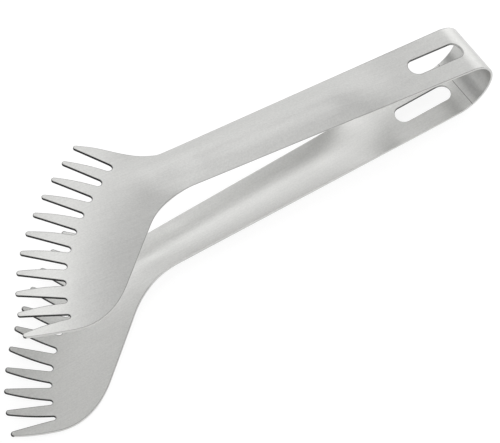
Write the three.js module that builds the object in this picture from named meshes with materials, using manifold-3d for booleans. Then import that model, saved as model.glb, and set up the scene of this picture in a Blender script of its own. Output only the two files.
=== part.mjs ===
// Spaghetti tongs: two pressed comb arms, mirror images of each other, on a round spring bow.
// Millimetres, +Z up. The tongs lie on the outside of the lower arm, whose rim is level.
// +X runs from the bow to the combs, and the heads sweep towards +Y.
import * as THREE from "three";
import { mergeVertices } from "three/addons/utils/BufferGeometryUtils.js";
import Module from "manifold-3d";

// Sheet and spring bow
const SHEET = 1.2; // thickness of the steel
const BOW_RADIUS = 17.1; // at the middle of the sheet
const ARM_SPLAY = 4.9; // degrees, between each arm and the plane of symmetry
const SEAM_ANGLE = 27; // degrees of the bend that belong to each arm
const SEAM_GAP = 0.3; // clearance between an arm and the bow

// Handle
const HANDLE_LENGTH = 172; // from the start of the bend to the neck
const STRIP_WIDTH = 29; // at the bow
const NECK_WIDTH = 22.6;
const SLOT_LENGTH = 33;
const SLOT_WIDTH = 9.2;
const SLOT_LEAD = 3.8; // how far the hanging slot runs into the bend
const CROWN_HEIGHT = 3.8; // rise of the handle's middle over its edges
const CROWN_START = 36; // the land round the slot is flat up to here
const CROWN_RUN = 44; // length over which the crown grows
const CROWN_END = 15; // the crown starts to fade this far before the neck
const CROWN_FADE = 32; // length over which it fades
const NECK_RISE = 2.5; // the ridge that carries the crown on through the neck
const NECK_AT = 9; // its middle, from the neck
const NECK_RUN = 13; // its reach along the arm
const NECK_SPREAD = 9; // and across it

// Head: places are measured from the middle of the neck
const FIRST_TIP_X = 33.8;
const FIRST_TIP_Y = -33.6;
const COMB_CHORD = 113.5; // from the first tooth tip to the last
const COMB_ANGLE = 45.1; // degrees, between that chord and the handle
const COMB_BULGE = 22; // control point of the tip line, out from the chord
const COMB_BULGE_AT = 72.5; // and along it
const TEETH = 11;
const TOOTH_LENGTH = 22;
const TOOTH_TIP_RADIUS = 1.3;
const TOOTH_BELLY = 0.5; // swell of a tooth's flanks
const GULLET_RADIUS = 1.75;
const BACK_START = 14; // from the neck to where the back edge's line leaves the handle
const BACK_ANGLE = 38.9; // degrees, between the back edge and the handle
const BACK_NECK_RADIUS = 52;
const HEEL_BACK_RUN = 24; // the heel's curve leaves the back edge this far before their corner
const HEEL_TOOTH_RUN = 18; // and joins the last tooth's side this far past it
const LAST_TOOTH_HALF = 2.8; // half width of the last tooth where the heel runs into it
const FRONT_START = 1.5; // the same for the front edge
const FRONT_ANGLE = 27; // degrees, between the front edge and the handle at the neck
const FRONT_NECK_RADIUS = 8;
const FRONT_FLARE = 52; // degrees, between the front edge and the handle at the first tooth
const DISH_HEIGHT = 4.8; // rise of the head's dome over the rim
const DISH_X = 58.5; // middle of the dome
const DISH_Y = 24;
const DISH_TOOTH_RADIUS = 122; // bend of the dome along the teeth
const DISH_COMB_RADIUS = 600; // bend of the dome along the comb
const DISH_START = -6; // the dome starts to rise here
const DISH_RUN = 34; // length over which it reaches its full height

// Fineness of the solids
const CURVE_STEPS = 4;
const LONG_CURVE_STEPS = 10;
const BEND_ROWS = 4;
const ROW_STEP = 5;
const MIDDLE_COLUMNS = 10;
const MIDDLE_SHARE = 0.85; // share of the strip's width that the middle columns take
const SIDE_COLUMNS = 7;
const RIM_MARGIN = 3; // spare sheet outside the outline, cut away
const SPREAD_RUN = 30; // length before the neck over which the uncut sheet widens
const BOW_STEPS = 16;
const SLOPE_STEP = 0.01; // for the slope of the pressed surface

const STEEL = { color: 0xc3c3c0, roughness: 0.36, metalness: 1 };

const splay = THREE.MathUtils.degToRad(ARM_SPLAY);
const seamTurn = THREE.MathUtils.degToRad(SEAM_ANGLE);
const combTurn = THREE.MathUtils.degToRad(COMB_ANGLE);

const wasm = await Module();
wasm.setup();

function toSolid(geometry) {
  geometry.deleteAttribute("normal");
  geometry.deleteAttribute("uv");
  const merged = mergeVertices(geometry);
  return new wasm.Manifold(
    new wasm.Mesh({
      numProp: 3,
      vertProperties: merged.getAttribute("position").array,
      triVerts: new Uint32Array(merged.index.array),
    }),
  );
}

function toGeometry(solid) {
  const mesh = solid.getMesh();
  const geometry = new THREE.BufferGeometry();
  geometry.setAttribute("position", new THREE.BufferAttribute(mesh.vertProperties, 3));
  geometry.setIndex(new THREE.BufferAttribute(mesh.triVerts, 1));
  geometry.computeVertexNormals();
  return geometry;
}

function smoothStep(value, start, run) {
  return THREE.MathUtils.smoothstep(value, start, start + run);
}

function polar(origin, angle, distance) {
  return new THREE.Vector2(Math.cos(angle), Math.sin(angle)).multiplyScalar(distance).add(origin);
}

// Arm frame: x along the arm from the start of the bend, y across, z outwards from the rim.

function stripWidth(x) {
  const taper = (NECK_WIDTH - STRIP_WIDTH) / HANDLE_LENGTH;
  return STRIP_WIDTH + taper * Math.max(x, 0);
}

// The line through the tooth tips, one smooth curve that bends more towards the last tooth
function tipLine() {
  const first = new THREE.Vector2(HANDLE_LENGTH + FIRST_TIP_X, FIRST_TIP_Y);
  const last = polar(first, combTurn, COMB_CHORD);
  const bulge = polar(polar(first, combTurn, COMB_BULGE_AT), combTurn - Math.PI / 2, COMB_BULGE);
  return new THREE.QuadraticBezierCurve(first, bulge, last);
}

// A place on the tip line, as a share of its length, with the comb's heading there
function combPlace(line, share) {
  const tangent = line.getTangentAt(share);
  return { point: line.getPointAt(share), heading: tangent.angle() };
}

// A point of the comb, given by its depth behind the tip line and its shift along it
function combPoint(place, depth, shift) {
  const behind = polar(place.point, place.heading + Math.PI / 2, depth);
  return polar(behind, place.heading, shift);
}

// Rounds the corner between the path's last line and the heading that follows
function roundCorner(path, corner, headingIn, headingOut, radius) {
  const turn = headingOut - headingIn;
  const reach = radius * Math.tan(Math.abs(turn) / 2);
  const start = polar(corner, headingIn, -reach);
  const side = Math.sign(turn) * (Math.PI / 2);
  const centre = polar(start, headingIn + side, radius);
  path.lineTo(start.x, start.y);
  path.absarc(centre.x, centre.y, radius, headingIn - side, headingOut - side, turn < 0);
}

// Where two lines, each a point and a heading, cross
function crossing(a, headingA, b, headingB) {
  const gap = b.clone().sub(a);
  const across = Math.cos(headingA) * Math.sin(headingB) - Math.sin(headingA) * Math.cos(headingB);
  const along = (gap.x * Math.sin(headingB) - gap.y * Math.cos(headingB)) / across;
  return polar(a, headingA, along);
}

// A long bend of the outline, in finer steps than the teeth
function bendTo(path, from, control, to) {
  const bend = new THREE.QuadraticBezierCurve(from, control, to);
  bend.getPoints(LONG_CURVE_STEPS).forEach((point) => path.lineTo(point.x, point.y));
}

// One flank of a tooth, bellied out along the comb
function flankTo(path, from, to, heading, belly) {
  const control = polar(from.clone().lerp(to, 0.5), heading, belly);
  path.quadraticCurveTo(control.x, control.y, to.x, to.y);
}

function addComb(path, line) {
  const gulletDepth = TOOTH_LENGTH - GULLET_RADIUS;
  let root = null;
  for (let i = 0; i < TEETH; i++) {
    const tooth = combPlace(line, i / (TEETH - 1));
    const tip = combPoint(tooth, TOOTH_TIP_RADIUS, 0);
    const left = combPoint(tooth, TOOTH_TIP_RADIUS, -TOOTH_TIP_RADIUS);
    const right = combPoint(tooth, TOOTH_TIP_RADIUS, TOOTH_TIP_RADIUS);
    if (root) flankTo(path, root, left, tooth.heading, -TOOTH_BELLY);
    path.absarc(tip.x, tip.y, TOOTH_TIP_RADIUS, tooth.heading - Math.PI, tooth.heading, false);
    if (i === TEETH - 1) break;
    const gullet = combPlace(line, (i + 0.5) / (TEETH - 1));
    const centre = combPoint(gullet, gulletDepth, 0);
    flankTo(path, right, combPoint(gullet, gulletDepth, -GULLET_RADIUS), tooth.heading, TOOTH_BELLY);
    path.absarc(centre.x, centre.y, GULLET_RADIUS, gullet.heading + Math.PI, gullet.heading, true);
    root = combPoint(gullet, gulletDepth, GULLET_RADIUS);
  }
}

// Plan of one arm as it is stamped: handle, front edge, comb, heel and back edge
function armOutline(line) {
  const start = -BOW_RADIUS;
  const edgeTurn = Math.atan2((STRIP_WIDTH - NECK_WIDTH) / 2, HANDLE_LENGTH);
  const backTurn = THREE.MathUtils.degToRad(BACK_ANGLE);
  const frontTurn = THREE.MathUtils.degToRad(FRONT_ANGLE);
  const flareTurn = THREE.MathUtils.degToRad(FRONT_FLARE);
  const first = combPlace(line, 0);
  const last = combPlace(line, 1);

  const path = new THREE.Shape();
  path.moveTo(start, -STRIP_WIDTH / 2);
  path.lineTo(0, -STRIP_WIDTH / 2);
  const frontX = HANDLE_LENGTH + FRONT_START;
  const frontNeck = new THREE.Vector2(frontX, -stripWidth(frontX) / 2);
  roundCorner(path, frontNeck, edgeTurn, -frontTurn, FRONT_NECK_RADIUS);
  const frontTip = combPoint(first, TOOTH_TIP_RADIUS, -TOOTH_TIP_RADIUS);
  const frontBend = crossing(frontNeck, -frontTurn, frontTip, -flareTurn);
  bendTo(path, path.currentPoint.clone(), frontBend, frontTip);

  addComb(path, line);

  const toothHeading = last.heading + Math.PI / 2;
  const heelLine = combPoint(last, TOOTH_LENGTH, LAST_TOOTH_HALF);
  const backX = HANDLE_LENGTH + BACK_START;
  const backNeck = new THREE.Vector2(backX, stripWidth(backX) / 2);
  const heel = crossing(heelLine, toothHeading, backNeck, backTurn);
  const swell = combPoint(last, TOOTH_LENGTH / 2, LAST_TOOTH_HALF);
  const heelTurn = backTurn + Math.PI;
  const heelFront = polar(heel, toothHeading, -HEEL_TOOTH_RUN);
  path.quadraticCurveTo(swell.x, swell.y, heelFront.x, heelFront.y);
  bendTo(path, heelFront, heel, polar(heel, heelTurn, HEEL_BACK_RUN));
  roundCorner(path, backNeck, heelTurn, Math.PI - edgeTurn, BACK_NECK_RADIUS);
  path.lineTo(0, STRIP_WIDTH / 2);
  path.lineTo(start, STRIP_WIDTH / 2);
  path.closePath();
  return path;
}

function slotOutline() {
  const half = SLOT_WIDTH / 2;
  const nearEnd = half - SLOT_LEAD;
  const farEnd = SLOT_LENGTH - SLOT_LEAD - half;
  const path = new THREE.Shape();
  path.moveTo(nearEnd, -half);
  path.lineTo(farEnd, -half);
  path.absarc(farEnd, 0, half, -Math.PI / 2, Math.PI / 2, false);
  path.lineTo(nearEnd, half);
  path.absarc(nearEnd, 0, half, Math.PI / 2, (3 * Math.PI) / 2, false);
  return path;
}

// Rise of the middle of the sheet over the rim: a crowned handle, a ridged neck and a domed head
function pressedHeight(x, y) {
  const grown = smoothStep(x, CROWN_START, CROWN_RUN);
  const faded = smoothStep(x, HANDLE_LENGTH - CROWN_END, CROWN_FADE);
  const across = (2 * y) / stripWidth(x);
  const crown = CROWN_HEIGHT * grown * (1 - faded) * Math.max(1 - across * across, -1);
  const pastNeck = (x - HANDLE_LENGTH - NECK_AT) / NECK_RUN;
  const neck = NECK_RISE * Math.exp(-(pastNeck ** 2) - (y / NECK_SPREAD) ** 2);
  const offset = new THREE.Vector2(x - HANDLE_LENGTH - DISH_X, y - DISH_Y);
  offset.rotateAround(new THREE.Vector2(), -combTurn);
  const fallAlong = offset.x ** 2 / (2 * DISH_COMB_RADIUS);
  const fallAcross = offset.y ** 2 / (2 * DISH_TOOTH_RADIUS);
  const dome = DISH_HEIGHT - fallAlong - fallAcross;
  return crown + neck + dome * smoothStep(x, HANDLE_LENGTH + DISH_START, DISH_RUN);
}

// A point of the sheet, lifted from its middle along the normal
function sheetPoint(x, y, lift) {
  if (x < 0) {
    const turn = -x / BOW_RADIUS;
    const radius = BOW_RADIUS + lift;
    return new THREE.Vector3(-radius * Math.sin(turn), y, radius * Math.cos(turn) - BOW_RADIUS);
  }
  const height = pressedHeight(x, y);
  const slopeX = (pressedHeight(x + SLOPE_STEP, y) - height) / SLOPE_STEP;
  const slopeY = (pressedHeight(x, y + SLOPE_STEP) - height) / SLOPE_STEP;
  const normal = new THREE.Vector3(-slopeX, -slopeY, 1).normalize();
  return normal.multiplyScalar(lift).add(new THREE.Vector3(x, y, height));
}

// Even places from one to the other, without the last
function spaced(from, to, count) {
  return Array.from({ length: count }, (_, i) => from + ((to - from) * i) / count);
}

// Rows of the sheet: the bend, the flat land, then even steps to the end of the comb
function sheetRows(end) {
  const seam = -BOW_RADIUS * seamTurn;
  const steps = Math.ceil((end - CROWN_START) / ROW_STEP);
  return [...spaced(seam, 0, BEND_ROWS), 0, ...spaced(CROWN_START, end, steps), end];
}

// Columns of the sheet in a row: an even middle, and sides that spread to the width of the head
function sheetColumns(x, bounds) {
  const half = stripWidth(x) / 2;
  const middle = half * MIDDLE_SHARE;
  const spread = smoothStep(x, HANDLE_LENGTH - SPREAD_RUN, SPREAD_RUN);
  const low = THREE.MathUtils.lerp(-half, bounds.min.y, spread) - RIM_MARGIN;
  const high = THREE.MathUtils.lerp(half, bounds.max.y, spread) + RIM_MARGIN;
  return [
    ...spaced(low, -middle, SIDE_COLUMNS),
    ...spaced(-middle, middle, MIDDLE_COLUMNS),
    ...spaced(middle, high, SIDE_COLUMNS),
    high,
  ];
}

// The pressed sheet before it is stamped out, wider than the outline everywhere
function pressedSheet(bounds) {
  const rows = sheetRows(bounds.max.x + RIM_MARGIN);
  const positions = [];
  for (const lift of [SHEET / 2, -SHEET / 2]) {
    for (const x of rows) {
      sheetColumns(x, bounds).forEach((y) => positions.push(...sheetPoint(x, y, lift).toArray()));
    }
  }
  const columns = MIDDLE_COLUMNS + 2 * SIDE_COLUMNS;
  const width = columns + 1;
  const layer = rows.length * width;
  const index = [];
  const quad = (a, b, c, d) => index.push(a, b, c, a, c, d);
  for (let i = 0; i < rows.length - 1; i++) {
    for (let j = 0; j < columns; j++) {
      const a = i * width + j;
      quad(a, a + width, a + width + 1, a + 1);
      quad(layer + a, layer + a + 1, layer + a + width + 1, layer + a + width);
    }
    const edge = i * width;
    quad(edge, layer + edge, layer + edge + width, edge + width);
    const far = edge + columns;
    quad(far, far + width, layer + far + width, layer + far);
  }
  const lastRow = (rows.length - 1) * width;
  for (let j = 0; j < columns; j++) {
    quad(j, j + 1, layer + j + 1, layer + j);
    quad(lastRow + j, layer + lastRow + j, layer + lastRow + j + 1, lastRow + j + 1);
  }
  const geometry = new THREE.BufferGeometry();
  geometry.setAttribute("position", new THREE.Float32BufferAttribute(positions, 3));
  geometry.setIndex(index);
  return geometry;
}

// A stamping tool: a plan outline carried through the sheet
function punch(shape) {
  const reach = BOW_RADIUS + DISH_HEIGHT;
  const options = { depth: 2 * reach, bevelEnabled: false, curveSegments: CURVE_STEPS };
  return new THREE.ExtrudeGeometry(shape, options).translate(0, 0, -reach);
}

function armGeometry() {
  const outline = armOutline(tipLine());
  const bounds = new THREE.Box2().setFromPoints(outline.getPoints(CURVE_STEPS));
  const sheet = toSolid(pressedSheet(bounds));
  const stamped = sheet.intersect(toSolid(punch(outline)));
  return toGeometry(stamped.subtract(toSolid(punch(slotOutline()))));
}

// The bow between the two seams, a bent strip
function bowGeometry() {
  const half = Math.PI / 2 - splay - seamTurn - SEAM_GAP / BOW_RADIUS;
  const outer = BOW_RADIUS + SHEET / 2;
  const inner = BOW_RADIUS - SHEET / 2;
  const profile = new THREE.Shape();
  profile.absarc(0, 0, outer, Math.PI - half, Math.PI + half, false);
  profile.absarc(0, 0, inner, Math.PI + half, Math.PI - half, true);
  const options = { depth: STRIP_WIDTH, bevelEnabled: false, curveSegments: BOW_STEPS };
  return new THREE.ExtrudeGeometry(profile, options)
    .translate(0, 0, -STRIP_WIDTH / 2)
    .rotateX(Math.PI / 2);
}

function steelMesh(name, geometry) {
  const mesh = new THREE.Mesh(geometry, new THREE.MeshStandardMaterial(STEEL));
  mesh.name = name;
  return mesh;
}

// One half of the tongs: an arm set on the end of the bend
function armHalf(name, geometry) {
  const arm = steelMesh(name, geometry);
  arm.position.set(-BOW_RADIUS * Math.sin(splay), 0, BOW_RADIUS * Math.cos(splay));
  arm.rotation.y = -splay;
  const half = new THREE.Group();
  half.add(arm);
  return half;
}

const arm = armGeometry();
const upper = armHalf("upper_arm", arm);
const lower = armHalf("lower_arm", arm);
lower.scale.z = -1;

const pair = new THREE.Group();
pair.add(lower, steelMesh("spring_bow", bowGeometry()), upper);
pair.rotation.y = -splay;
const box = new THREE.Box3().setFromObject(pair, true);
const centre = box.getCenter(new THREE.Vector3());
pair.position.set(-centre.x, -centre.y, -box.min.z);

const tongs = new THREE.Group();
tongs.add(pair);

export default tongs;
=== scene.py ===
import math

import bmesh
import bpy
import numpy as np
from mathutils import Matrix, Vector
from mathutils.geometry import delaunay_2d_cdt


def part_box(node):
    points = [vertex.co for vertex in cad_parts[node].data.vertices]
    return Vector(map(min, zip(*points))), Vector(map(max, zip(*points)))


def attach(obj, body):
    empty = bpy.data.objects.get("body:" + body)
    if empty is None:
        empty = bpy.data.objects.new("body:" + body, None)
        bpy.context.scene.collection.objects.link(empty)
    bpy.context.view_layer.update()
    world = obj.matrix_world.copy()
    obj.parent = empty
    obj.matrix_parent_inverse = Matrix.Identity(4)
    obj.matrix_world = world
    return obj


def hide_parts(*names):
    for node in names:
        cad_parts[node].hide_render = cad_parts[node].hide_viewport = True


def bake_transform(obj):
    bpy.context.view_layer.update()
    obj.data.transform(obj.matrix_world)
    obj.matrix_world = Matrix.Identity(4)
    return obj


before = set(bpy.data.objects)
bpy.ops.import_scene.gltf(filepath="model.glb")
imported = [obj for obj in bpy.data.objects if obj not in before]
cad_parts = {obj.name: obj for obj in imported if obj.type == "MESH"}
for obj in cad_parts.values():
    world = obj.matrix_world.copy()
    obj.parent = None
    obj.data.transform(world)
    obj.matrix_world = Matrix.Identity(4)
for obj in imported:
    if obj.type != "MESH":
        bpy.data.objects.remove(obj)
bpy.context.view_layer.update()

# Spaghetti tongs in satin stainless sheet: two pressed comb arms on a round spring bow.
# Sizes are millimetres in the arm's own frame: x along the arm from the start of the bend, y across,
# z outwards from the middle of the bow. MM turns them into metres.
MM = 0.001

# Sheet and spring bow
SHEET = 1.2
EDGE_RADIUS = 0.22
EDGE_INSET = 0.5  # where the faces end and their rim begins
BOW_RADIUS = 17.1
ARM_SPLAY = math.radians(4.9)
SEAM_TURN = math.radians(27)
SEAM_GAP = 0.3
SEAM_RELIEF = 0.2  # the hairline groove between arm and bow, on the inside only
SEAM_X = -BOW_RADIUS * SEAM_TURN
APEX_X = -BOW_RADIUS * (math.pi / 2 - ARM_SPLAY)  # the middle of the bow

# Handle
HANDLE_LENGTH = 172
STRIP_WIDTH = 29
NECK_WIDTH = 22.6
SLOT_LENGTH = 33
SLOT_WIDTH = 9.2
SLOT_LEAD = 3.8  # how far the slot runs into the bend
CROWN_HEIGHT = 3.8
CROWN_START = 36
CROWN_RUN = 44
CROWN_END = 15
CROWN_FADE = 32
CROWN_LEAST = -1  # how low the crown's curve may fall past the strip's edges, beside its height
NECK_RISE = 2.5
NECK_AT = 9
NECK_RUN = 13
NECK_SPREAD = 9

# Head, measured from the middle of the neck
FIRST_TIP = np.array([HANDLE_LENGTH + 33.8, -33.6])
COMB_CHORD = 113.5
COMB_TURN = math.radians(45.1)
COMB_BULGE = 22
COMB_BULGE_AT = 72.5
TEETH = 11
TOOTH_LENGTH = 22
TOOTH_TIP_RADIUS = 1.3
TOOTH_BELLY = 0.5
GULLET_RADIUS = 1.75
FIRST_GAPS = 4  # these lean towards the first tooth and are wider at the root, the first one most
FIRST_GAP_LEAN = 1.5
FIRST_GAP_SPREAD = 0.5
LAST_GAPS = 3  # these are narrower at the root and cut deeper, the last one most
LAST_GAP_SPREAD = -0.65
LAST_GAP_DEPTH = 0.8
BACK_START = 14
BACK_TURN = math.radians(38.9)
BACK_NECK_RADIUS = 52
HEEL_BACK_RUN = 24
HEEL_TOOTH_RUN = 18
LAST_TOOTH_HALF = 2.8
FRONT_START = 1.5
FRONT_TURN = math.radians(27)
FRONT_NECK_RADIUS = 8
FRONT_FLARE = math.radians(52)
FRONT_SWAY = 0.8  # how far the first tooth's front edge swings in at its root and out at its tip
DISH_HEIGHT = 4.8
DISH_X = 58.5
DISH_Y = 24
DISH_TOOTH_RADIUS = 122
DISH_COMB_RADIUS = 600
DISH_START = -6
DISH_RUN = 34

# Fineness of the meshes
CURVE_POINTS = 40
COMB_STEPS = 1000  # along the tip line, from one tooth to the next
EDGE_STEP = 0.7
EDGE_STEPS = 3  # round each of the sheet's two rims
FACE_STEP = 1.8
FACE_MARGIN = 0.6  # share of the face step kept clear inside the edge
END_POINTS = 16
BOW_STEPS = 36
SLOPE_STEP = 0.01
MESH_WHOLE = 0  # the triangulation keeps all it makes
MESH_EPSILON = 1e-6

# How much of the near-black tone shows, where the comb's walls have all of it: partly the duller
# sheared steel, mostly painted shade on walls that face away from the light
SLOT_WALL_SHADE = 0.9
SLOT_END_SHADE = 0.3  # at the end that runs into the bend
SLOT_END_RUN = 7
WALL_GAIN = 2  # a wall has its whole tone up to 60 degrees round the rim, and none on the face
RIM_PAINTED_SHADE = 0.5  # painted shade in a dark line along the rims
HEAD_RIM_RUN = 20  # on the inside the painted shade line starts at the neck and is full this far on

# Satin steel, its noise in cells per millimetre along, across and through the sheet
LIGHT_STEEL = (0.64, 0.64, 0.627, 1)
DARK_STEEL = (0.562, 0.562, 0.551, 1)
# near black: the duller cut steel, darkened further as painted shade
SHEARED_STEEL_AND_SHADE = (0.022, 0.022, 0.0215, 1)
GRAIN_CELLS = (1.1, 1.3, 1.3)
STREAK_CELLS = (0.07, 1.5, 1)
CLOUD_CELLS = (0.03, 0.06, 0.2)
FINE_NOISE = {"Scale": 1, "Detail": 3, "Roughness": 0.6}
CLOUD_NOISE = {"Scale": 1, "Detail": 2}
NOISE_RANGE = (0.3, 0.7)  # where most of a noise texture's values lie
BRUSHING = (-0.11, 0.11)  # what the streaks add to the grain
CLOUD_ROUGHNESS = (0.39, 0.43)
GRAIN_ROUGHNESS = (-0.03, 0.03)  # what the grain adds to that
BUMP_STRENGTH = 0.1
BUMP_DISTANCE = 0.00003

# Camera at the photograph's angle
CAMERA_PLACE = (0.50827, 0.61805, 1.25122)
CAMERA_TURN = (32.781, -3.262, 145.195)
CAMERA_LENS = 219.7

# Studio, in metres
AIM = Vector((0, 0, 0.04))
WHITE = (1, 1, 1, 1)
SEEN_LEVEL = 1
STUDIO_LEVEL = 0.9
FLOOR_SIZE = 12
FLOOR_COLOUR = (0.25, 0.25, 0.25, 1)
FLOOR_WHITE = 0.8
LAMP_WATTS = 4

# Azimuth and elevation in degrees, width, height, level beside the white studio's 1, distance
SOFTBOXES = {
    "top_softbox": (322, 62.5, 0.57, 0.29, 0.91, 0.90),
    "core_softbox": (292, 58.4, 0.39, 0.18, 1.00, 0.90),
    "front_softbox": (171, 68.4, 0.53, 0.27, 0.88, 0.90),
    "bow_softbox": (293, 6.0, 0.14, 0.15, 0.53, 0.38),
    "ridge_softbox": (328, 35.5, 0.30, 0.14, 0.29, 0.66),
    "side_softbox": (223, 64.4, 0.16, 0.15, 0.93, 0.69),
}
CARDS = {
    "comb_card": (50, 21.0, 0.31, 0.43, 0.08, 0.59),
    "room_card": (273, 39.3, 0.41, 0.15, 0.55, 0.36),
    "high_card": (292, 72.4, 0.24, 0.14, 0.85, 0.36),
    "left_card": (289, 44.4, 0.58, 0.21, 0.08, 0.90),
    "roof_card": (261, 83.6, 0.15, 0.20, 0.71, 0.71),
}


def smooth_step(value, start, run):
    t = np.clip((value - start) / run, 0, 1)
    return t * t * (3 - 2 * t)


def polar(origin, angle, distance):
    return origin + distance * np.array([math.cos(angle), math.sin(angle)])


def unit(vectors):
    return vectors / np.linalg.norm(vectors, axis=-1, keepdims=True)


def add_object(name, data):
    made = bpy.data.objects.new(name, data)
    bpy.context.scene.collection.objects.link(made)
    return made


# Plan of one arm

def arc(centre, radius, start, end):
    angles = np.linspace(start, end, CURVE_POINTS)
    return centre + radius * np.column_stack([np.cos(angles), np.sin(angles)])


def bezier(start, control, end):
    t = np.linspace(0, 1, CURVE_POINTS)[:, None]
    return (1 - t) ** 2 * start + 2 * t * (1 - t) * control + t ** 2 * end


def lengths_of(points):
    return np.linalg.norm(np.diff(points, axis=0), axis=1)


def resample(points, step, *values):
    """Even points along a path, with each list of values carried along."""
    lengths = np.concatenate([[0], np.cumsum(lengths_of(points))])
    places = np.linspace(0, lengths[-1], int(lengths[-1] / step) + 1)
    columns = [np.interp(places, lengths, column) for column in [*points.T, *values]]
    return np.column_stack(columns[:2]), *columns[2:]


def crossing(a, heading_a, b, heading_b):
    """Where two lines, each a point and a heading, cross."""
    gap = b - a
    off_line = gap[0] * math.sin(heading_b) - gap[1] * math.cos(heading_b)
    return polar(a, heading_a, off_line / math.sin(heading_b - heading_a))


def round_corner(corner, heading_in, heading_out, radius):
    turn = heading_out - heading_in
    start = polar(corner, heading_in, -radius * math.tan(abs(turn) / 2))
    side = math.copysign(math.pi / 2, turn)
    centre = polar(start, heading_in + side, radius)
    return arc(centre, radius, heading_in - side, heading_out - side)


def strip_width(x):
    return STRIP_WIDTH + (NECK_WIDTH - STRIP_WIDTH) / HANDLE_LENGTH * np.maximum(x, 0)


def comb_places():
    """Tips and gullets in turn: points on the tip line, with the comb's heading at each."""
    middle = polar(FIRST_TIP, COMB_TURN, COMB_BULGE_AT)
    bulge = polar(middle, COMB_TURN - math.pi / 2, COMB_BULGE)
    line = bezier(FIRST_TIP, bulge, polar(FIRST_TIP, COMB_TURN, COMB_CHORD))
    line, = resample(line, lengths_of(line).sum() / (COMB_STEPS * (TEETH - 1)))
    headings = np.arctan2(*np.gradient(line, axis=0).T[::-1])
    picks = np.linspace(0, len(line) - 1, 2 * TEETH - 1).round().astype(int)
    return [(line[i], headings[i]) for i in picks]


def comb_point(place, depth, shift):
    point, heading = place
    return polar(polar(point, heading + math.pi / 2, depth), heading, shift)


def flank(start, end, heading, belly):
    return bezier(start, polar((start + end) / 2, heading, belly), end)


def gap_root(gap):
    """Radius, depth and lean of the root of one gap, counted from the first tooth."""
    first = max(0, 1 - gap / FIRST_GAPS)
    last = max(0, 1 - (TEETH - 2 - gap) / LAST_GAPS)
    radius = GULLET_RADIUS + first * FIRST_GAP_SPREAD + last * LAST_GAP_SPREAD
    return radius, TOOTH_LENGTH + last * LAST_GAP_DEPTH - radius, first * FIRST_GAP_LEAN


def comb_edge(places):
    """The edge of the comb from the first tip to the last."""
    pieces = []
    root = None
    for i, place in enumerate(places):
        heading = place[1]
        if i % 2 == 0:
            if root is not None:
                left = comb_point(place, TOOTH_TIP_RADIUS, -TOOTH_TIP_RADIUS)
                pieces.append(flank(root, left, heading, -TOOTH_BELLY))
            tip = comb_point(place, TOOTH_TIP_RADIUS, 0)
            pieces.append(arc(tip, TOOTH_TIP_RADIUS, heading - math.pi, heading))
            right, tooth_heading = pieces[-1][-1], heading
            continue
        radius, depth, lean = gap_root(i // 2)
        start = comb_point(place, depth, -lean - radius)
        centre = comb_point(place, depth, -lean)
        pieces.append(flank(right, start, tooth_heading, TOOTH_BELLY))
        pieces.append(arc(centre, radius, heading + math.pi, heading))
        root = pieces[-1][-1]
    return np.vstack(pieces)


def arm_outline(start):
    """The open edge of one arm, front first, and which of its points are the comb's."""
    places = comb_places()
    edge_turn = math.atan2((STRIP_WIDTH - NECK_WIDTH) / 2, HANDLE_LENGTH)
    half = STRIP_WIDTH / 2
    front_x = HANDLE_LENGTH + FRONT_START
    front_neck = np.array([front_x, -strip_width(front_x) / 2])
    neck = round_corner(front_neck, edge_turn, -FRONT_TURN, FRONT_NECK_RADIUS)
    front_tip = comb_point(places[0], TOOTH_TIP_RADIUS, -TOOTH_TIP_RADIUS)
    flare = crossing(front_neck, -FRONT_TURN, front_tip, -FRONT_FLARE)
    run = front_tip - neck[-1]
    across = math.atan2(run[1], run[0]) + math.pi / 2
    sway = FRONT_SWAY * np.sin(np.linspace(0, 2 * math.pi, CURVE_POINTS))
    first_tooth = polar(bezier(neck[-1], flare, front_tip), across, sway[:, None])
    front = np.vstack([[[start, -half], [0, -half]], neck, first_tooth])

    comb = comb_edge(places)

    last = places[-1]
    tooth_heading = last[1] + math.pi / 2
    heel_turn = BACK_TURN + math.pi
    back_x = HANDLE_LENGTH + BACK_START
    back_neck = np.array([back_x, strip_width(back_x) / 2])
    heel_line = comb_point(last, TOOTH_LENGTH, LAST_TOOTH_HALF)
    heel = crossing(heel_line, tooth_heading, back_neck, BACK_TURN)
    swell = comb_point(last, TOOTH_LENGTH / 2, LAST_TOOTH_HALF)
    heel_front = polar(heel, tooth_heading, -HEEL_TOOTH_RUN)
    back = np.vstack([
        bezier(comb[-1], swell, heel_front),
        bezier(heel_front, heel, polar(heel, heel_turn, HEEL_BACK_RUN)),
        round_corner(back_neck, heel_turn, math.pi - edge_turn, BACK_NECK_RADIUS),
        [[0, half], [start, half]],
    ])
    marks = np.concatenate([np.zeros(len(front)), np.ones(len(comb)), np.zeros(len(back))])
    return resample(np.vstack([front, comb, back]), EDGE_STEP, marks)


def slot_outline():
    """The hanging slot's edge, clockwise, so that the steel lies on the left of it."""
    half = SLOT_WIDTH / 2
    near = np.array([half - SLOT_LEAD, 0])
    far = np.array([SLOT_LENGTH - SLOT_LEAD - half, 0])
    path = np.vstack([
        arc(near, half, 3 * math.pi / 2, math.pi / 2),
        arc(far, half, math.pi / 2, -math.pi / 2),
        near - [[0, half]],
    ])
    points, = resample(path, EDGE_STEP)
    return points[:-1]


# Pressed sheet

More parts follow.
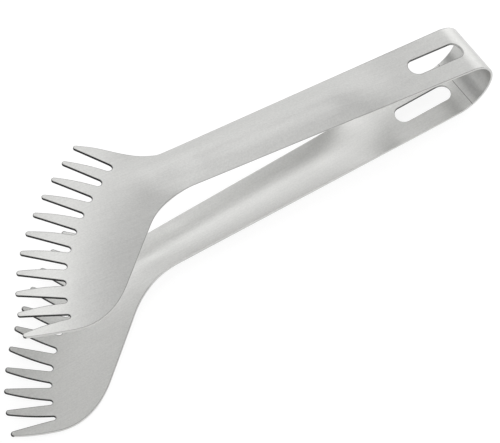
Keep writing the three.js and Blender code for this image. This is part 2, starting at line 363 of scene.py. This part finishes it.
def pressed_height(x, y):
    """Rise of the middle of the sheet: a crowned handle, a ridge through the neck and a domed head."""
    grown = smooth_step(x, CROWN_START, CROWN_RUN)
    faded = smooth_step(x, HANDLE_LENGTH - CROWN_END, CROWN_FADE)
    share = 2 * y / strip_width(x)
    crown = CROWN_HEIGHT * grown * (1 - faded) * np.maximum(1 - share ** 2, CROWN_LEAST)
    past_neck = (x - HANDLE_LENGTH - NECK_AT) / NECK_RUN
    neck = NECK_RISE * np.exp(-past_neck ** 2 - (y / NECK_SPREAD) ** 2)
    dx, dy = x - HANDLE_LENGTH - DISH_X, y - DISH_Y
    along = dx * math.cos(COMB_TURN) + dy * math.sin(COMB_TURN)
    across = dy * math.cos(COMB_TURN) - dx * math.sin(COMB_TURN)
    dome = DISH_HEIGHT - along ** 2 / (2 * DISH_COMB_RADIUS) - across ** 2 / (2 * DISH_TOOTH_RADIUS)
    return crown + neck + dome * smooth_step(x, HANDLE_LENGTH + DISH_START, DISH_RUN)


def slopes(x, y):
    flat = np.maximum(x, 0)
    rise_x = pressed_height(flat + SLOPE_STEP, y) - pressed_height(flat - SLOPE_STEP, y)
    rise_y = pressed_height(flat, y + SLOPE_STEP) - pressed_height(flat, y - SLOPE_STEP)
    return rise_x / (2 * SLOPE_STEP), rise_y / (2 * SLOPE_STEP)


def sheet_frame(plan):
    """Middle of the sheet at places of the plan, its normal, and its directions along and across."""
    x, y = plan.T
    turn = np.maximum(-x, 0) / BOW_RADIUS
    flat = np.maximum(x, 0)
    slope_x, slope_y = slopes(x, y)
    zero, one = np.zeros_like(x), np.ones_like(x)
    height = pressed_height(flat, y) + BOW_RADIUS * np.cos(turn)
    middle = np.column_stack([flat - BOW_RADIUS * np.sin(turn), y, height])
    along = np.column_stack([np.cos(turn), zero, np.sin(turn) + slope_x])
    across = np.column_stack([zero, one, slope_y])
    return middle, unit(np.cross(along, across)), along, across


def edge_profile():
    """The rounded edge from the outer face to the inner one.

    Each point has its way outwards, its lift, its angle and its share of the painted shade line along
    the rim.
    """
    lift = SHEET / 2 - EDGE_RADIUS
    outer = [(math.pi / 2 * (1 - i / EDGE_STEPS), lift) for i in range(EDGE_STEPS + 1)]
    inner = [(-angle, -shift) for angle, shift in reversed(outer)]
    points = [(-EDGE_INSET, SHEET / 2, math.pi / 2, 0)]
    for angle, shift in outer + inner:
        outwards = EDGE_RADIUS * (math.cos(angle) - 1)
        points.append((outwards, shift + EDGE_RADIUS * math.sin(angle), angle, 1 - math.cos(angle)))
    return [*points, (-EDGE_INSET, -SHEET / 2, -math.pi / 2, 0)]


class Surface:
    """Points with their normals, their places on the flat sheet and how much of the dark tone, sheared
    steel and painted shade, they show.
    """

    def __init__(self):
        self.points, self.normals, self.grain, self.sheared_and_shade = [], [], [], []
        self.faces, self.caps = [], []
        self.count = 0

    def add(self, points, normals, plan, lift, sheared_and_shade):
        total = len(points)
        self.points.append(points)
        self.normals.append(normals)
        self.grain.append(np.column_stack([plan, np.broadcast_to(lift, total)]))
        self.sheared_and_shade.append(np.broadcast_to(sheared_and_shade, total))
        self.count += total
        return np.arange(self.count - total, self.count)

    def add_face(self, plan, side):
        """Points on the outer face, at side 1, or on the inner one, at side -1."""
        middle, normal, _, _ = sheet_frame(plan)
        lift = side * SHEET / 2
        return self.add(middle + lift * normal, side * normal, plan, lift, 0)

    def add_edge(self, plan, tangent, sheared_and_shade):
        """Rows of points along the edge, one row for each step of its profile."""
        middle, normal, along, across = sheet_frame(plan)
        out = unit(np.cross(tangent[:, :1] * along + tangent[:, 1:] * across, normal))
        side = np.column_stack([tangent[:, 1], -tangent[:, 0]])
        on_head = smooth_step(plan[:, 0], HANDLE_LENGTH, HEAD_RIM_RUN)
        rows = []
        for outwards, lift, angle, rim_shade in edge_profile():
            points = middle + lift * normal + outwards * out
            normals = math.sin(angle) * normal + math.cos(angle) * out
            # Painted shade: a dark line along the rims, on the inner face only from the neck on
            rim = RIM_PAINTED_SHADE * rim_shade * (1 if angle > 0 else on_head)
            edge_shade = np.maximum(sheared_and_shade * min(1, WALL_GAIN * math.cos(angle)), rim)
            rows.append(self.add(points, normals, plan + outwards * side, lift, edge_shade))
        return np.column_stack(rows)

    def section(self, x, relief):
        """One closed section of the plain strip, its inner face cut back by the relief."""
        half = STRIP_WIDTH / 2
        ys = np.linspace(EDGE_INSET - half, half - EDGE_INSET, END_POINTS)
        rounded = edge_profile()[1:-1]
        loop = [(y, SHEET / 2, math.pi / 2, 1) for y in ys]
        loop += [(half + out, lift, angle, 1) for out, lift, angle, _ in rounded]
        loop += [(y, -SHEET / 2, -math.pi / 2, 1) for y in ys[::-1]]
        loop += [(-half - out, lift, angle, -1) for out, lift, angle, _ in rounded[::-1]]
        across, lift, angle, hand = np.array(loop).T
        lift = np.maximum(lift, relief - SHEET / 2)
        plan = np.column_stack([np.full(len(loop), x), across])
        middle, normal, _, _ = sheet_frame(plan)
        sideways = np.column_stack([0 * hand, np.cos(angle) * hand, 0 * hand])
        normals = np.sin(angle)[:, None] * normal + sideways
        # Painted shade: the inner side of the seam groove gets the near-black tone
        in_groove = (angle < 0) & (relief > 0)
        return self.add(middle + lift[:, None] * normal, normals, plan, lift, in_groove)

    def quads(self, first, second):
        """Faces between two rows of points."""
        self.faces += [(a, b, d, c) for a, b, c, d in zip(first, first[1:], second, second[1:])]

    def ring(self, first, second):
        """Faces between two closed loops of points."""
        self.quads(np.append(first, first[0]), np.append(second, second[0]))

    def close(self, loop):
        """One flat face over a loop of points."""
        self.caps.append(len(self.faces))
        self.faces.append(tuple(loop))

    def build(self, name, place):
        """The mesh object in the frame, with its normals and its attributes."""
        mesh = bpy.data.meshes.new(name)
        points = [place @ Vector(p) for p in np.vstack(self.points) * MM]
        mesh.from_pydata(points, [], [tuple(map(int, face)) for face in self.faces])
        edit = bmesh.new()
        edit.from_mesh(mesh)
        bmesh.ops.recalc_face_normals(edit, faces=edit.faces)
        edit.to_mesh(mesh)
        edit.free()
        grain = mesh.attributes.new("grain", "FLOAT_VECTOR", "POINT")
        grain.data.foreach_set("vector", np.vstack(self.grain).ravel())
        sheared_and_shade = mesh.attributes.new("sheared_and_shade", "FLOAT", "POINT")
        sheared_and_shade.data.foreach_set("value", np.concatenate(self.sheared_and_shade))
        corners = np.zeros(len(mesh.loops), int)
        mesh.loops.foreach_get("vertex_index", corners)
        turned = np.vstack(self.normals) @ np.array(place.to_3x3()).T
        corner_normals = unit(turned)[corners]
        for cap in self.caps:
            face = mesh.polygons[cap]
            corner_normals[list(face.loop_indices)] = face.normal
        mesh.shade_smooth()
        mesh.normals_split_custom_set(corner_normals.tolist())
        return add_object(name, mesh)


def inside(points, loops):
    """Which points lie in the plan, by counting how many edges each one's ray crosses."""
    x, y = points.T
    crossed = np.zeros(len(points), bool)
    for loop in loops:
        for (ax, ay), (bx, by) in zip(loop, np.roll(loop, -1, axis=0)):
            if ay != by:
                spans = (ay > y) != (by > y)
                crossed ^= spans & (x < ax + (y - ay) * (bx - ax) / (by - ay))
    return crossed


def face_points(loops):
    """A triangular grid of points over the plan, clear of its edge."""
    edge = np.vstack(loops)
    low, high = edge.min(axis=0), edge.max(axis=0)
    rows = []
    for i, y in enumerate(np.arange(low[1], high[1], FACE_STEP * math.sqrt(3) / 2)):
        xs = np.arange(low[0] + FACE_STEP / 2 * (i % 2), high[0], FACE_STEP)
        rows.append(np.column_stack([xs, np.full(len(xs), y)]))
    grid = np.vstack(rows)
    grid = grid[inside(grid, loops)]
    margin = (FACE_MARGIN * FACE_STEP) ** 2
    clear = [np.min(np.sum((edge - p) ** 2, axis=1)) > margin for p in grid]
    return grid[np.array(clear)]


def face_triangles(plan, loops):
    """Triangles between the points of a plan that lie within its loops."""
    edges = [pair for loop in loops for pair in zip(loop.tolist(), np.roll(loop, -1).tolist())]
    result = delaunay_2d_cdt([Vector(p) for p in plan], edges, [], MESH_WHOLE, MESH_EPSILON)
    _, _, triangles, sources, _, _ = result
    triangles = np.array([ids[0] for ids in sources])[np.array(triangles)]
    return triangles[inside(plan[triangles].mean(axis=1), [plan[loop] for loop in loops])]


def path_tangents(points, closed):
    if closed:
        return unit(np.roll(points, -1, axis=0) - np.roll(points, 1, axis=0))
    return unit(np.gradient(points, axis=0))


def arm_surface():
    """One arm from the seam to the comb, closed at the seam."""
    start = SEAM_X + SEAM_RELIEF
    surface = Surface()

    # The outline is the outer face's, so the middle of the sheet moves with its slope
    edge, sheared_and_shade = arm_outline(start)
    rise_x, rise_y = slopes(*edge.T)
    lean = np.column_stack([rise_x, rise_y]) / np.sqrt(1 + rise_x ** 2 + rise_y ** 2)[:, None]
    edge = edge + lean * SHEET / 2
    outer = surface.add_edge(edge, path_tangents(edge, False), sheared_and_shade)
    slot_path = slot_outline()
    # Painted shade on the slot's walls, less of it at the end in the bend
    past_end = smooth_step(slot_path[:, 0], -SLOT_LEAD, SLOT_END_RUN)
    slot_shade = SLOT_END_SHADE + (SLOT_WALL_SHADE - SLOT_END_SHADE) * past_end
    slot = surface.add_edge(slot_path, path_tangents(slot_path, True), slot_shade)

    inset = STRIP_WIDTH / 2 - EDGE_INSET
    across = np.linspace(inset, -inset, END_POINTS)[1:-1]
    end = np.column_stack([np.full(len(across), start), across])
    grain = np.vstack(surface.grain)[:, :2]
    rim, hole = grain[outer[:, 0]], grain[slot[:, 0]]
    grid = face_points([np.vstack([rim, end]), hole])

    ends = [surface.add_face(end, side) for side in (1, -1)]
    faces = [surface.add_face(grid, side) for side in (1, -1)]
    ring = len(rim) + len(end)
    loops = [np.arange(ring), ring + np.arange(len(hole))]
    kept = face_triangles(np.vstack([rim, end, hole, grid]), loops)
    for side in (0, 1):  # the first column of an edge is on the outer face, the last on the inner one
        ids = np.concatenate([outer[:, -side], ends[side], slot[:, -side], faces[side]])
        surface.faces += [tuple(t) for t in ids[kept]]

    for row in range(outer.shape[1] - 1):
        surface.quads(outer[:, row], outer[:, row + 1])
        surface.ring(slot[:, row], slot[:, row + 1])

    mouth = [outer[:1, 0], ends[0][::-1], outer[-1], ends[1], outer[0, :0:-1]]
    last = surface.section(SEAM_X, SEAM_RELIEF)
    surface.ring(np.concatenate(mouth), last)
    surface.close(last)
    return surface


def bow_half_surface():
    """The bow from one seam to its middle, closed at both ends."""
    surface = Surface()
    xs = np.linspace(SEAM_X - SEAM_RELIEF, APEX_X, BOW_STEPS)
    loops = [surface.section(SEAM_X, SEAM_RELIEF), *(surface.section(x, 0) for x in xs)]
    for first, second in zip(loops, loops[1:]):
        surface.ring(first, second)
    surface.close(loops[0])
    surface.close(loops[-1])
    return surface


# Place of the two halves in the frame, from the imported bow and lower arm

def half_places():
    outer = BOW_RADIUS + SHEET / 2
    bow_low, bow_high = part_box("spring_bow")
    arm_low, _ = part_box("lower_arm")
    centre = Vector((
        arm_low.x + outer * math.sin(SEAM_TURN) * MM,
        (bow_low.y + bow_high.y) / 2,
        bow_low.z + outer * math.cos(SEAM_TURN + SEAM_GAP / BOW_RADIUS) * MM,
    ))
    moved = Matrix.Translation(centre)
    return {
        "lower": moved @ Matrix.Scale(-1, 4, Vector((0, 0, 1))),
        "upper": moved @ Matrix.Rotation(-2 * ARM_SPLAY, 4, "Y"),
    }


# Materials

def put(tree, socket, value):
    """Links a socket to another one, or sets its value."""
    if isinstance(value, bpy.types.NodeSocket):
        tree.links.new(value, socket)
    else:
        socket.default_value = value


def add_node(tree, kind, **inputs):
    made = tree.nodes.new(kind)
    for name, value in inputs.items():
        put(tree, made.inputs[name], value)
    return made


def attribute_of(tree, name):
    made = tree.nodes.new("ShaderNodeAttribute")
    made.attribute_name = name
    return made


def grain_noise(tree, place, cells, settings):
    """Noise on the flat sheet, with its own fineness along, across and through the sheet."""
    mapped = add_node(tree, "ShaderNodeMapping", Vector=place, Scale=cells)
    noise = add_node(tree, "ShaderNodeTexNoise", Vector=mapped.outputs["Vector"], **settings)
    return noise.outputs["Fac"]


def ranged(tree, value, source, target):
    """The value mapped from one range to another."""
    made = add_node(tree, "ShaderNodeMapRange", Value=value)
    for name, end in zip(("From Min", "From Max", "To Min", "To Max"), (*source, *target)):
        put(tree, made.inputs[name], end)
    return made.outputs["Result"]


def joined(tree, operation, first, second):
    """Two values added, or the greater of them."""
    made = tree.nodes.new("ShaderNodeMath")
    made.operation = operation
    put(tree, made.inputs[0], first)
    put(tree, made.inputs[1], second)
    return made.outputs["Value"]


def mixed(tree, share, first, second):
    made = tree.nodes.new("ShaderNodeMix")
    made.data_type = "RGBA"
    for name, value in (("Factor", share), ("A", first), ("B", second)):
        put(tree, next(s for s in made.inputs if s.name == name and s.enabled), value)
    return next(s for s in made.outputs if s.enabled)


def satin_steel():
    """Fine matt satin: a faint lengthwise brushing under an even grain, and dark edges of sheared steel
    with painted shade.
    """
    material = bpy.data.materials.new("satin_steel")
    material.use_nodes = True
    tree = material.node_tree
    place = attribute_of(tree, "grain").outputs["Vector"]
    sheared_and_shade = attribute_of(tree, "sheared_and_shade").outputs["Fac"]

    grain = grain_noise(tree, place, GRAIN_CELLS, FINE_NOISE)
    streaks = grain_noise(tree, place, STREAK_CELLS, FINE_NOISE)
    clouds = grain_noise(tree, place, CLOUD_CELLS, CLOUD_NOISE)
    brushing = ranged(tree, streaks, NOISE_RANGE, BRUSHING)
    fine = ranged(tree, joined(tree, "ADD", grain, brushing), NOISE_RANGE, (0, 1))
    satin = mixed(tree, fine, DARK_STEEL, LIGHT_STEEL)
    cloudy = ranged(tree, clouds, NOISE_RANGE, CLOUD_ROUGHNESS)
    grainy = ranged(tree, fine, (0, 1), GRAIN_ROUGHNESS)
    bump = add_node(
        tree, "ShaderNodeBump", Height=fine, Strength=BUMP_STRENGTH, Distance=BUMP_DISTANCE,
    )

    shader = tree.nodes["Principled BSDF"]
    # The near-black tone paints shade on walls, rims and the seam groove, over the duller cut steel
    put(tree, shader.inputs["Base Color"], mixed(tree, sheared_and_shade, satin, SHEARED_STEEL_AND_SHADE))
    put(tree, shader.inputs["Roughness"], joined(tree, "ADD", cloudy, grainy))
    put(tree, shader.inputs["Normal"], bump.outputs["Normal"])
    put(tree, shader.inputs["Metallic"], 1)
    return material


# Pieces: the arms on their bodies, the bow halves fixed in the frame

def dress(piece, material):
    piece.data.materials.append(material)


def make_tongs():
    steel = satin_steel()
    places = half_places()
    arm, bow = arm_surface(), bow_half_surface()
    for body, place in places.items():
        blade = arm.build(f"{body}_comb_arm", place)
        dress(blade, steel)
        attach(blade, body)
        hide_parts(f"{body}_arm")
        half = bow.build(f"{body}_bow_half", place)
        dress(half, steel)
        if body == "lower":
            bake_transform(half)
        else:
            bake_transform(half)
        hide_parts("spring_bow")


# Stage, light and camera

def seen_white(tree, seen_strength, other_strength):
    """One strength for what the camera, a reflection or glass sees, and another for the rest."""
    path = tree.nodes.new("ShaderNodeLightPath")
    seen = path.outputs["Is Camera Ray"]
    for name in ("Is Glossy Ray", "Is Transmission Ray"):
        seen = joined(tree, "MAXIMUM", seen, path.outputs[name])
    return ranged(tree, seen, (0, 1), (other_strength, seen_strength))


def make_world():
    world = bpy.data.worlds.new("studio")
    bpy.context.scene.world = world
    world.use_nodes = True
    tree = world.node_tree
    background = tree.nodes["Background"]
    put(tree, background.inputs["Color"], WHITE)
    put(tree, background.inputs["Strength"], seen_white(tree, SEEN_LEVEL, STUDIO_LEVEL))


def bare_material(name):
    """A material with no shader yet, its node tree, and the socket that the shader goes to."""
    material = bpy.data.materials.new(name)
    material.use_nodes = True
    tree = material.node_tree
    tree.nodes.remove(tree.nodes["Principled BSDF"])
    return material, tree, tree.nodes["Material Output"].inputs["Surface"]


def flat_panel(name, width, height, material):
    """A rectangle round the origin that faces +Z."""
    x, y = width / 2, height / 2
    mesh = bpy.data.meshes.new(name)
    mesh.from_pydata([(-x, -y, 0), (x, -y, 0), (x, y, 0), (-x, y, 0)], [], [(0, 1, 2, 3)])
    mesh.materials.append(material)
    panel = add_object(name, mesh)
    return panel


def make_floor():
    material, tree, surface = bare_material("pale_floor")
    diffuse = add_node(tree, "ShaderNodeBsdfDiffuse", Color=FLOOR_COLOUR)
    glow = add_node(tree, "ShaderNodeEmission", Strength=seen_white(tree, FLOOR_WHITE, 0))
    both = tree.nodes.new("ShaderNodeAddShader")
    put(tree, both.inputs[0], diffuse.outputs["BSDF"])
    put(tree, both.inputs[1], glow.outputs["Emission"])
    put(tree, surface, both.outputs["Shader"])
    flat_panel("floor", FLOOR_SIZE, FLOOR_SIZE, material)


def aimed(thing, azimuth, elevation, distance):
    """Stands a lamp or a card round the tongs, facing them and unseen by the camera."""
    a, e = math.radians(azimuth), math.radians(elevation)
    away = Vector((math.sin(a) * math.cos(e), -math.cos(a) * math.cos(e), math.sin(e)))
    thing.location = AIM + distance * away
    thing.rotation_euler = away.to_track_quat("Z", "Y").to_euler()
    thing.visible_camera = False


def make_softbox(name, azimuth, elevation, width, height, level, distance):
    """An area lamp, which adds its level to the studio behind it."""
    lamp = bpy.data.lights.new(name, "AREA")
    lamp.shape = "RECTANGLE"
    lamp.size, lamp.size_y = width, height
    lamp.energy = level * LAMP_WATTS * width * height
    aimed(add_object(name, lamp), azimuth, elevation, distance)


def make_card(name, azimuth, elevation, width, height, level, distance):
    """An even grey card that the steel mirrors, and that lights and shades nothing else."""
    material, tree, surface = bare_material(name)
    glow = add_node(tree, "ShaderNodeEmission", Strength=level)
    put(tree, surface, glow.outputs["Emission"])
    card = flat_panel(name, width, height, material)
    card.visible_diffuse = False
    card.visible_shadow = False
    aimed(card, azimuth, elevation, distance)


def make_light():
    for name, row in SOFTBOXES.items():
        make_softbox(name, *row)
    for name, row in CARDS.items():
        make_card(name, *row)


def make_camera():
    data = bpy.data.cameras.new("camera")
    data.lens = CAMERA_LENS
    camera = add_object("camera", data)
    camera.location = CAMERA_PLACE
    camera.rotation_euler = [math.radians(a) for a in CAMERA_TURN]
    bpy.context.scene.camera = camera


make_tongs()
make_world()
make_floor()
make_light()
make_camera()
bpy.context.scene.view_settings.view_transform = "Standard"
